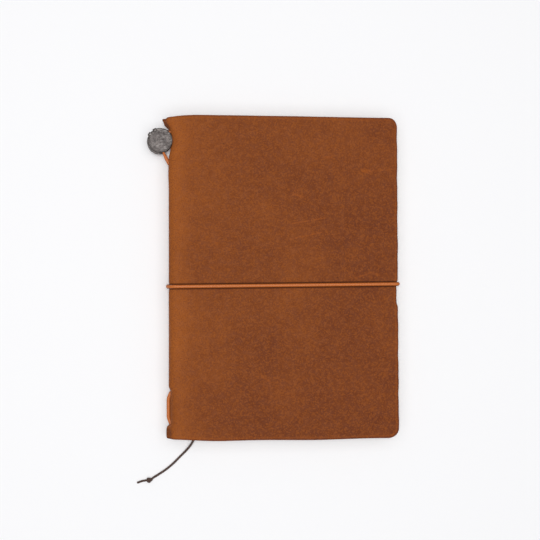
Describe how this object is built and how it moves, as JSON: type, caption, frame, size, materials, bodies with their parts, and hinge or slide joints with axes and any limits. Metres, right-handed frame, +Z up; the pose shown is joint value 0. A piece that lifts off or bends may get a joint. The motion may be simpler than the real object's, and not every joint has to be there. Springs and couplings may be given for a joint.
{
  "type": "leather notebook cover",
  "caption": "Slim cover of one folded sheet of thick leather, holding a stapled booklet on elastic cord, with a closing band, a crimped metal clasp and a bookmark.",
  "frame": {"origin": "centre of the back cover's outer face, which faces the table", "axes": "+Z up through the closed notebook, +Y along the spine towards the head, +X from the spine to the fore-edge"},
  "size_m": [0.109, 0.1529, 0.0123],
  "materials": {
    "leather": "waxed pull-up leather, matt",
    "elastic": "round braided elastic cord",
    "tin": "dull, roughened tin",
    "bookmark": "waxed twisted cord",
    "kraft": "matt kraft card",
    "paper": "uncoated cream paper",
    "steel": "bright wire"
  },
  "bodies": {
    "back_cover": {"leather_back_cover": "leather", "closing_band_back": "elastic", "closing_band_front": "elastic"},
    "spine": {"leather_spine": "leather", "spine_elastic": "elastic", "closing_band_spine": "elastic", "bookmark_hitch": "bookmark", "staple_1": "steel", "staple_2": "steel"},
    "front_cover": {"leather_front_cover": "leather"},
    "booklet_back": {"booklet_cover_back": "kraft", "leaf_back_01": "paper", "leaf_back_02": "paper", "leaf_back_03": "paper", "leaf_back_04": "paper", "leaf_back_05": "paper", "leaf_back_06": "paper", "leaf_back_07": "paper", "leaf_back_08": "paper", "leaf_back_09": "paper", "leaf_back_10": "paper", "leaf_back_11": "paper", "leaf_back_12": "paper", "leaf_back_13": "paper", "leaf_back_14": "paper", "leaf_back_15": "paper", "leaf_back_16": "paper", "bookmark_cord": "bookmark", "bookmark_knot": "bookmark", "bookmark_tail": "bookmark"},
    "booklet_front": {"booklet_cover_front": "kraft", "leaf_front_01": "paper", "leaf_front_02": "paper", "leaf_front_03": "paper", "leaf_front_04": "paper", "leaf_front_05": "paper", "leaf_front_06": "paper", "leaf_front_07": "paper", "leaf_front_08": "paper", "leaf_front_09": "paper", "leaf_front_10": "paper", "leaf_front_11": "paper", "leaf_front_12": "paper", "leaf_front_13": "paper", "leaf_front_14": "paper", "leaf_front_15": "paper", "leaf_front_16": "paper"},
    "clasp": {"clasp": "tin", "clasp_strand": "elastic"},
    "band_loop": {"closing_band_fore_edge_loop": "elastic"}
  },
  "joints": [
    {"name": "spine_fold", "type": "hinge", "parent": "back_cover", "child": "spine", "pos_m": [-0.04662, 0, 0.00088], "axis": [0, -1, 0], "range_deg": [0, 90], "deforming": ["closing_band_spine", "closing_band_front", "closing_band_fore_edge_loop"]},
    {"name": "front_fold", "type": "hinge", "parent": "spine", "child": "front_cover", "pos_m": [-0.04662, 0, 0.00912], "axis": [0, -1, 0], "range_deg": [0, 90]},
    {"name": "booklet_seat", "type": "hinge", "parent": "spine", "child": "booklet_back", "pos_m": [-0.0408, 0, 0.005], "axis": [0, -1, 0], "range_deg": [-90, 0]},
    {"name": "booklet_opening", "type": "hinge", "parent": "booklet_back", "child": "booklet_front", "pos_m": [-0.0408, 0, 0.005], "axis": [0, -1, 0], "range_deg": [0, 180]},
    {"name": "clasp_swing", "type": "hinge", "parent": "spine", "child": "clasp", "pos_m": [-0.0479, 0, 0.005], "axis": [0, -1, 0], "range_deg": [-30, 30], "stiffness_Nm_per_rad": 0.002},
    {"name": "band_pull", "type": "slide", "parent": "back_cover", "child": "band_loop", "axis": [1, 0, 0], "range_m": [0, 0.01], "stiffness_N_per_m": 100, "deforming": ["closing_band_front", "closing_band_back"]}
  ],
  "couplings": [
    {"joint": "front_fold", "follows": "spine_fold", "ratio": 1},
    {"joint": "booklet_seat", "follows": "spine_fold", "ratio": -1},
    {"joint": "booklet_opening", "follows": "spine_fold", "ratio": 2}
  ]
}
